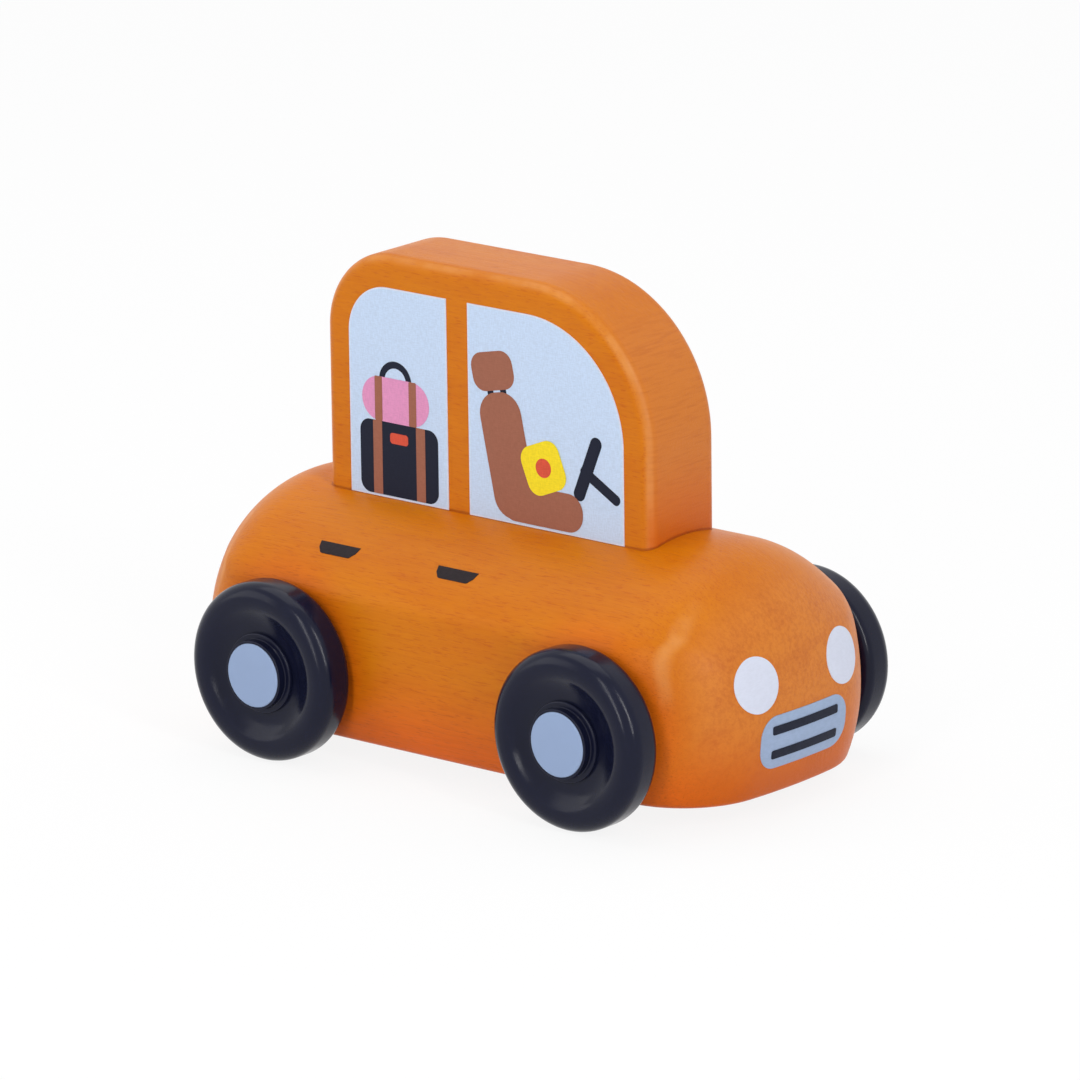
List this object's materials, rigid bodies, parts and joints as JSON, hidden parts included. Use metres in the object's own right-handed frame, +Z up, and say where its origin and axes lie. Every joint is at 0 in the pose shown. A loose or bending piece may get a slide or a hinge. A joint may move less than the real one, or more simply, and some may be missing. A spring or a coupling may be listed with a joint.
{
  "type": "wooden push-along toy car",
  "caption": "Small solid wooden toy car with a rounded body, a flat cabin board let into its deck, printed windows and loose wheels that turn on fixed axles",
  "frame": {"origin": "on the ground below the middle of the car's length and width", "axes": "+X to the front of the car, +Y to its left, +Z up"},
  "size_m": [0.1067, 0.065, 0.076],
  "materials": {
    "dyed_wood": "translucent orange dye under satin varnish",
    "plain_wood": "raw turned beech",
    "steel": "plain drawn steel",
    "black_plastic": "satin moulded plastic",
    "blue_plastic": "satin moulded plastic",
    "window_print": "printed transfer film",
    "white_print": "printed transfer film",
    "blue_print": "printed transfer film",
    "navy_print": "printed transfer film"
  },
  "bodies": {
    "car": {"body_block": "dyed_wood", "cabin_block": "dyed_wood", "front_dowel": "plain_wood", "rear_dowel": "plain_wood", "front_axle": "steel", "rear_axle": "steel", "grille_plate": "blue_print", "upper_grille_bar": "navy_print", "lower_grille_bar": "navy_print", "left_headlight": "white_print", "right_headlight": "white_print", "front_left_push_nut": "steel", "front_right_push_nut": "steel", "rear_left_push_nut": "steel", "rear_right_push_nut": "steel", "left_front_window": "window_print", "left_front_handle": "navy_print", "left_rear_window": "window_print", "left_rear_handle": "navy_print", "right_front_window": "window_print", "right_front_handle": "navy_print", "right_rear_window": "window_print", "right_rear_handle": "navy_print"},
    "front_left_wheel_set": {"front_left_wheel": "black_plastic", "front_left_hub_cap": "blue_plastic"},
    "front_right_wheel_set": {"front_right_wheel": "black_plastic", "front_right_hub_cap": "blue_plastic"},
    "rear_left_wheel_set": {"rear_left_wheel": "black_plastic", "rear_left_hub_cap": "blue_plastic"},
    "rear_right_wheel_set": {"rear_right_wheel": "black_plastic", "rear_right_hub_cap": "blue_plastic"}
  },
  "joints": [
    {"name": "front_left_wheel_turn", "type": "hinge", "parent": "car", "child": "front_left_wheel_set", "pos_m": [0.03165, 0.02835, 0.014], "axis": [0, 1, 0], "continuous": true},
    {"name": "front_right_wheel_turn", "type": "hinge", "parent": "car", "child": "front_right_wheel_set", "pos_m": [0.03165, -0.02835, 0.014], "axis": [0, 1, 0], "continuous": true},
    {"name": "rear_left_wheel_turn", "type": "hinge", "parent": "car", "child": "rear_left_wheel_set", "pos_m": [-0.02835, 0.02835, 0.014], "axis": [0, 1, 0], "continuous": true},
    {"name": "rear_right_wheel_turn", "type": "hinge", "parent": "car", "child": "rear_right_wheel_set", "pos_m": [-0.02835, -0.02835, 0.014], "axis": [0, 1, 0], "continuous": true}
  ]
}
